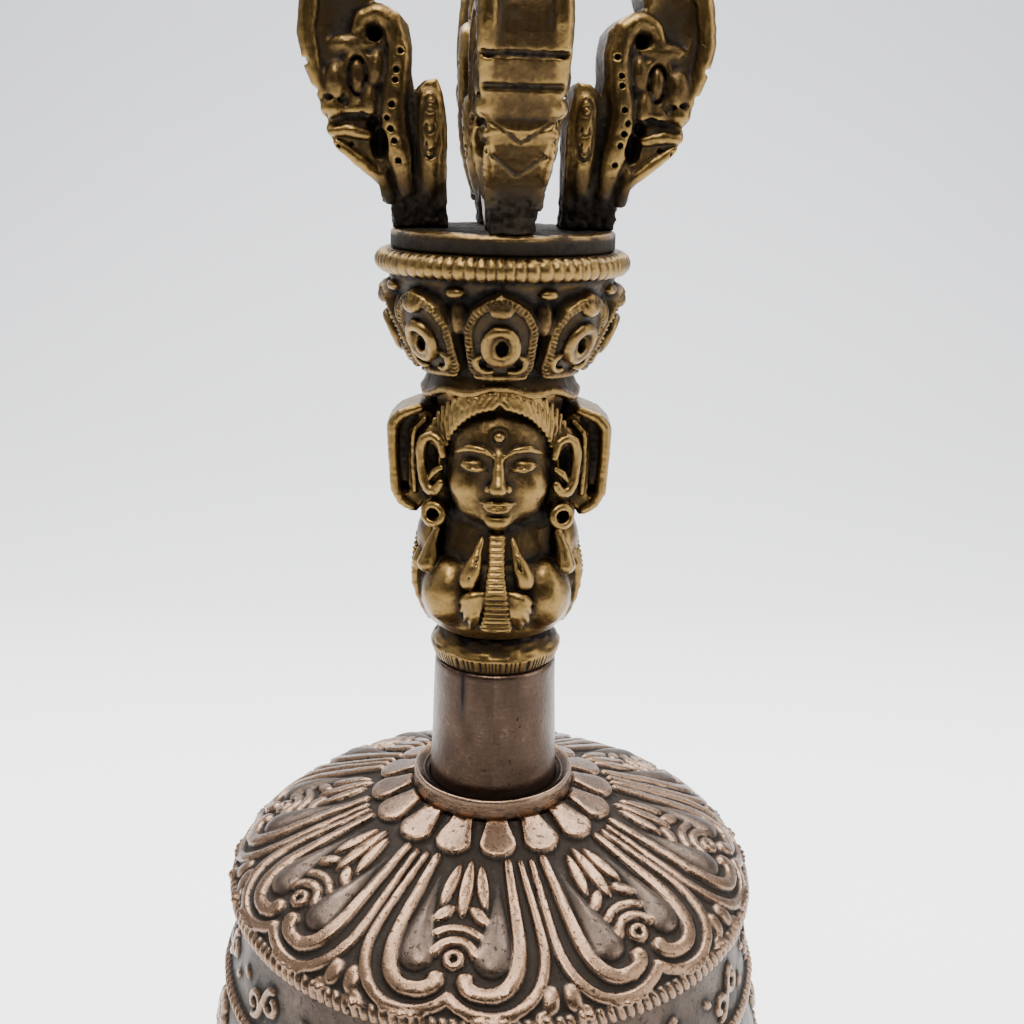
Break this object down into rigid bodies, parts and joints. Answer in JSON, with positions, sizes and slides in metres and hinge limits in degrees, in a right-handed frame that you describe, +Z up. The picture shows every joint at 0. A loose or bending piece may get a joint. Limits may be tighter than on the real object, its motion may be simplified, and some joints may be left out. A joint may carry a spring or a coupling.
{
  "type": "tibetan bell",
  "caption": "Ritual hand bell: a flared bronze bell with a linked clapper, and a brass handle with a mask, a lotus and a closed vajra of curved prongs.",
  "frame": {"origin": "centre of the mouth, on the plane of the rim that the bell stands on", "axes": "+Z up along the handle's axis to the vajra's tip; the mask faces -Y; +X is the viewer's right"},
  "size_m": [0.1, 0.1, 0.1997],
  "materials": {
    "bell_bronze": "antiqued copper-brown, worn ridges",
    "antique_brass": "antiqued brass, worn ridges",
    "dark_brass": "dark aged brass",
    "dark_iron": "blackened iron"
  },
  "bodies": {
    "bell": {"bell_shell": "bell_bronze", "crown_collar": "bell_bronze", "shaft_sleeve": "bell_bronze", "handle_cuff": "antique_brass", "figure_casting": "antique_brass", "lotus_casting": "antique_brass", "moon_disc": "dark_brass", "centre_spike": "antique_brass", "prong_front": "antique_brass", "prong_right": "antique_brass", "prong_back": "antique_brass", "prong_left": "antique_brass", "tie_rod": "dark_iron", "rod_washer": "dark_iron", "rod_nut": "dark_iron", "hanger_eye": "dark_iron"},
    "link": {"hanger_link": "dark_iron"},
    "clapper": {"clapper_rod": "dark_iron", "clapper_striker": "dark_brass"}
  },
  "joints": [
    {"name": "link_swing", "type": "hinge", "parent": "bell", "child": "link", "pos_m": [0, 0, 0.0637], "axis": [1, 0, 0], "range_deg": [-12, 12]},
    {"name": "clapper_swing", "type": "hinge", "parent": "link", "child": "clapper", "pos_m": [0, 0, 0.05865], "axis": [0, 1, 0], "range_deg": [-42, 42]}
  ]
}
